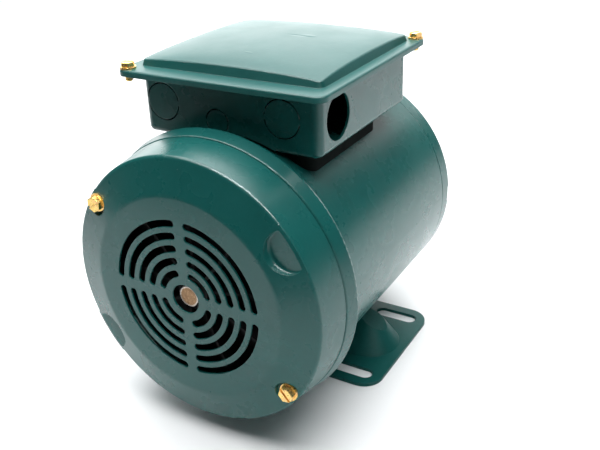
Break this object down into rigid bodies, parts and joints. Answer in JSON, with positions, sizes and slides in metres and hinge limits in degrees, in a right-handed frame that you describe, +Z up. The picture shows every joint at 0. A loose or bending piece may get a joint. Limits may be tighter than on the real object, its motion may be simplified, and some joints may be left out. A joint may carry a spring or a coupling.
{
  "type": "electric motor",
  "caption": "Foot-mounted electric motor: round steel shell, ventilated fan cover, slotted stamped base, top conduit box and a keyed shaft.",
  "frame": {"origin": "centre of the four foot slots, on the underside of the base", "axes": "+Z up from the mounting surface, +Y along the shaft towards the drive end, +X across the motor"},
  "size_m": [0.167, 0.2784, 0.2065],
  "materials": {
    "green_enamel": "semi-gloss baked enamel, slight orange peel",
    "yellow_zinc": "yellow-passivated zinc on steel",
    "bare_steel": "ground steel",
    "zinc_steel": "bright zinc plate",
    "laminations": "stacked electrical steel",
    "cast_aluminium": "die cast",
    "enamelled_copper": "varnished copper wire",
    "insulation_paper": "aramid paper",
    "black_rubber": "moulded rubber",
    "gasket_fibre": "cellular gasket",
    "black_plastic": "moulded nylon",
    "phenolic_board": "phenolic laminate",
    "brass": "brass",
    "green_zinc": "green-dyed ground screw",
    "wire_black": "lead insulation",
    "wire_red": "lead insulation",
    "wire_blue": "lead insulation",
    "wire_white": "lead insulation"
  },
  "bodies": {
    "housing": {"shell": "green_enamel", "foot_base": "green_enamel", "fan_cover": "green_enamel", "fan_cover_screws": "yellow_zinc", "fan_end_shield": "green_enamel", "drive_end_shield": "green_enamel", "through_bolts": "zinc_steel", "through_bolt_nuts": "zinc_steel", "stator_core": "laminations", "slot_liners": "insulation_paper", "slot_wedges": "insulation_paper", "main_winding": "enamelled_copper", "start_winding": "enamelled_copper", "fan_end_outer_race": "bare_steel", "fan_end_bearing_shields": "zinc_steel", "drive_end_outer_race": "bare_steel", "drive_end_bearing_shields": "zinc_steel", "preload_spring_washer": "bare_steel", "bearing_snap_ring": "bare_steel", "switch_board": "phenolic_board", "switch_screws": "zinc_steel", "switch_bracket": "brass", "switch_contacts": "brass", "thermal_protector": "zinc_steel", "saddle_pad": "black_rubber", "conduit_box": "green_enamel", "conduit_cover": "green_enamel", "cover_gasket": "gasket_fibre", "conduit_cover_screws": "yellow_zinc", "box_fixing_screws": "zinc_steel", "lead_grommet": "black_rubber", "terminal_board": "phenolic_board", "terminal_posts": "brass", "ground_screw": "green_zinc", "lead_black": "wire_black", "lead_red": "wire_red", "lead_blue": "wire_blue", "lead_white": "wire_white"},
    "rotor": {"rotor_core": "laminations", "rotor_cage": "cast_aluminium", "shaft": "bare_steel", "fan_end_inner_race": "bare_steel", "drive_end_inner_race": "bare_steel", "shaft_slinger": "black_rubber", "cooling_fan": "black_plastic", "fan_retaining_ring": "bare_steel", "governor_plate": "zinc_steel", "governor_pins": "bare_steel", "governor_spring": "bare_steel"},
    "fan_end_ball_set": {"fan_end_balls": "bare_steel", "fan_end_ball_cage": "zinc_steel"},
    "drive_end_ball_set": {"drive_end_balls": "bare_steel", "drive_end_ball_cage": "zinc_steel"},
    "collar": {"governor_collar": "black_plastic"},
    "upper_weight": {"governor_weight_upper": "zinc_steel"},
    "lower_weight": {"governor_weight_lower": "zinc_steel"},
    "start_switch_arm": {"switch_arm": "brass"}
  },
  "joints": [
    {"name": "rotor_spin", "type": "hinge", "parent": "housing", "child": "rotor", "pos_m": [0, 0, 0.0889], "axis": [0, 1, 0], "continuous": true},
    {"name": "fan_end_ball_orbit", "type": "hinge", "parent": "housing", "child": "fan_end_ball_set", "pos_m": [0, -0.0835, 0.0889], "axis": [0, 1, 0], "continuous": true},
    {"name": "drive_end_ball_orbit", "type": "hinge", "parent": "housing", "child": "drive_end_ball_set", "pos_m": [0, 0.0895, 0.0889], "axis": [0, 1, 0], "continuous": true},
    {"name": "collar_slide", "type": "slide", "parent": "rotor", "child": "collar", "axis": [0, 1, 0], "range_m": [0, 0.003], "deforming": ["governor_spring"]},
    {"name": "upper_weight_swing", "type": "hinge", "parent": "rotor", "child": "upper_weight", "pos_m": [0, -0.058, 0.1139], "axis": [1, 0, 0], "range_deg": [0, 17.2]},
    {"name": "lower_weight_swing", "type": "hinge", "parent": "rotor", "child": "lower_weight", "pos_m": [0, -0.058, 0.0639], "axis": [-1, 0, 0], "range_deg": [0, 17.2]},
    {"name": "switch_arm_swing", "type": "hinge", "parent": "housing", "child": "start_switch_arm", "pos_m": [0, -0.0712, 0.1289], "axis": [1, 0, 0], "range_deg": [0, 7.4]}
  ],
  "couplings": [
    {"joint": "fan_end_ball_orbit", "follows": "rotor_spin", "ratio": 0.3818},
    {"joint": "drive_end_ball_orbit", "follows": "rotor_spin", "ratio": 0.3818},
    {"joint": "upper_weight_swing", "follows": "collar_slide", "rad_per_m": 99.5},
    {"joint": "lower_weight_swing", "follows": "collar_slide", "rad_per_m": 99.5},
    {"joint": "switch_arm_swing", "follows": "collar_slide", "rad_per_m": 42.5}
  ]
}
